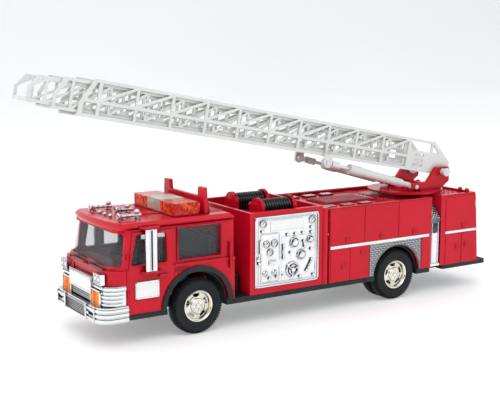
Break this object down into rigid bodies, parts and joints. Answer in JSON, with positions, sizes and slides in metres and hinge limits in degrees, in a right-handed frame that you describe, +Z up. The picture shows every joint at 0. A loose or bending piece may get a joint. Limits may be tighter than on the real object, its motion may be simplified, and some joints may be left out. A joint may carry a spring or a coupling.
{
  "type": "toy fire engine",
  "caption": "Moulded toy fire engine: cab, pump section, rear body and turntable carrying an aerial ladder that swivels, raises and telescopes, on rolling wheels.",
  "frame": {"origin": "middle of the toy's bounding box on the ground plane", "axes": "-X towards the cab, +X towards the rear step, +Y towards the truck's right side, +Z up"},
  "size_m": [0.3386, 0.0772, 0.158],
  "materials": {
    "slate_plastic": "satin moulded",
    "red_plastic": "glossy moulded",
    "dark_red": "glossy moulded",
    "white_plastic": "glossy moulded",
    "chrome": "vacuum plated",
    "champagne": "vacuum plated",
    "tyre": "moulded",
    "steel": "plain",
    "amber": "clear moulded",
    "red_lens": "clear moulded",
    "clear_lens": "clear moulded",
    "glazing": "tinted",
    "plate_white": "printed",
    "grey_trim": "satin",
    "black_plastic": "satin",
    "cell": "printed sleeve"
  },
  "bodies": {
    "truck": {"chassis": "slate_plastic", "chassis_screws": "steel", "battery_box": "slate_plastic", "batteries": "cell", "battery_contacts": "steel", "battery_cover": "slate_plastic", "front_bumper": "chrome", "headlamp_panel": "chrome", "headlamp_lenses": "amber", "name_plates": "plate_white", "lamp_pods": "chrome", "cab_shell": "red_plastic", "cab_roof": "red_plastic", "windscreen": "glazing", "side_windows": "glazing", "dashboard": "dark_red", "steering_wheel": "black_plastic", "seats": "slate_plastic", "wipers": "grey_trim", "grab_handles": "red_plastic", "mirror_brackets": "red_plastic", "mirrors": "chrome", "roof_horns": "chrome", "light_bar_base": "red_plastic", "light_bar_reflectors": "chrome", "light_bar_lenses": "red_lens", "light_bar_centre": "clear_lens", "ladder_rest": "red_plastic", "wheel_flares": "slate_plastic", "pump_body": "red_plastic", "left_pump_panel": "chrome", "right_pump_panel": "chrome", "reel_brackets": "red_plastic", "rear_body": "red_plastic", "side_stripes": "plate_white", "arch_treadplates": "chrome", "slope_treadplates": "chrome", "rear_beacons": "red_lens", "tail_lights": "red_lens"},
    "front_wheels": {"front_axle": "steel", "front_rims": "champagne", "front_tyres": "tyre"},
    "rear_wheels": {"rear_axle": "steel", "rear_rims": "champagne", "rear_tyres": "tyre"},
    "turntable": {"turntable": "red_plastic", "turntable_retainer": "steel", "pivot_pins": "white_plastic"},
    "ladder_base": {"ladder_base": "white_plastic"},
    "ladder_middle": {"ladder_middle": "white_plastic"},
    "ladder_fly": {"ladder_fly": "white_plastic"},
    "left_tube": {"left_lift_tube": "white_plastic"},
    "right_tube": {"right_lift_tube": "white_plastic"},
    "left_rod": {"left_lift_rod": "white_plastic"},
    "right_rod": {"right_lift_rod": "white_plastic"},
    "left_reel": {"left_hose_reel": "black_plastic"},
    "right_reel": {"right_hose_reel": "black_plastic"},
    "left_leg": {"left_stabiliser": "chrome"},
    "right_leg": {"right_stabiliser": "chrome"},
    "switch": {"switch_slider": "black_plastic"}
  },
  "joints": [
    {"name": "front_axle_spin", "type": "hinge", "parent": "truck", "child": "front_wheels", "pos_m": [-0.0722, 0, 0.0175], "axis": [0, 1, 0], "continuous": true},
    {"name": "rear_axle_spin", "type": "hinge", "parent": "truck", "child": "rear_wheels", "pos_m": [0.0837, 0, 0.0175], "axis": [0, 1, 0], "continuous": true},
    {"name": "turntable_swivel", "type": "hinge", "parent": "truck", "child": "turntable", "pos_m": [0.1193, 0, 0.0699], "axis": [0, 0, 1], "continuous": true},
    {"name": "ladder_raise", "type": "hinge", "parent": "turntable", "child": "ladder_base", "pos_m": [0.1388, 0, 0.0835], "axis": [0, 1, 0], "range_deg": [-9.9, 30]},
    {"name": "ladder_extend_middle", "type": "slide", "parent": "ladder_base", "child": "ladder_middle", "axis": [-0.982, 0, 0.1891], "range_m": [0, 0.19]},
    {"name": "ladder_extend_fly", "type": "slide", "parent": "ladder_middle", "child": "ladder_fly", "axis": [-0.982, 0, 0.1891], "range_m": [0, 0.19]},
    {"name": "left_lift_swing", "type": "hinge", "parent": "turntable", "child": "left_tube", "pos_m": [0.1142, -0.01435, 0.0742], "axis": [0, 1, 0], "range_deg": [-12.08, 36.2]},
    {"name": "left_lift_slide", "type": "slide", "parent": "left_tube", "child": "left_rod", "axis": [-0.9617, 0, 0.2741], "range_m": [-0.00347, 0.01031]},
    {"name": "right_lift_swing", "type": "hinge", "parent": "turntable", "child": "right_tube", "pos_m": [0.1142, 0.01435, 0.0742], "axis": [0, 1, 0], "range_deg": [-12.08, 36.2]},
    {"name": "right_lift_slide", "type": "slide", "parent": "right_tube", "child": "right_rod", "axis": [-0.9617, 0, 0.2741], "range_m": [-0.00347, 0.01031]},
    {"name": "left_reel_spin", "type": "hinge", "parent": "truck", "child": "left_reel", "pos_m": [-0.0062, -0.016, 0.0703], "axis": [1, 0, 0], "continuous": true},
    {"name": "right_reel_spin", "type": "hinge", "parent": "truck", "child": "right_reel", "pos_m": [-0.0062, 0.016, 0.0703], "axis": [1, 0, 0], "continuous": true},
    {"name": "left_leg_drop", "type": "slide", "parent": "truck", "child": "left_leg", "axis": [0, 0, -1], "range_m": [0, 0.018]},
    {"name": "right_leg_drop", "type": "slide", "parent": "truck", "child": "right_leg", "axis": [0, 0, -1], "range_m": [0, 0.018]},
    {"name": "switch_slide", "type": "slide", "parent": "truck", "child": "switch", "axis": [1, 0, 0], "range_m": [0, 0.0032]}
  ],
  "couplings": [
    {"joint": "left_lift_swing", "follows": "ladder_raise", "ratio": 1.2},
    {"joint": "left_lift_slide", "follows": "ladder_raise", "m_per_rad": 0.0195},
    {"joint": "right_lift_swing", "follows": "ladder_raise", "ratio": 1.2},
    {"joint": "right_lift_slide", "follows": "ladder_raise", "m_per_rad": 0.0195}
  ]
}
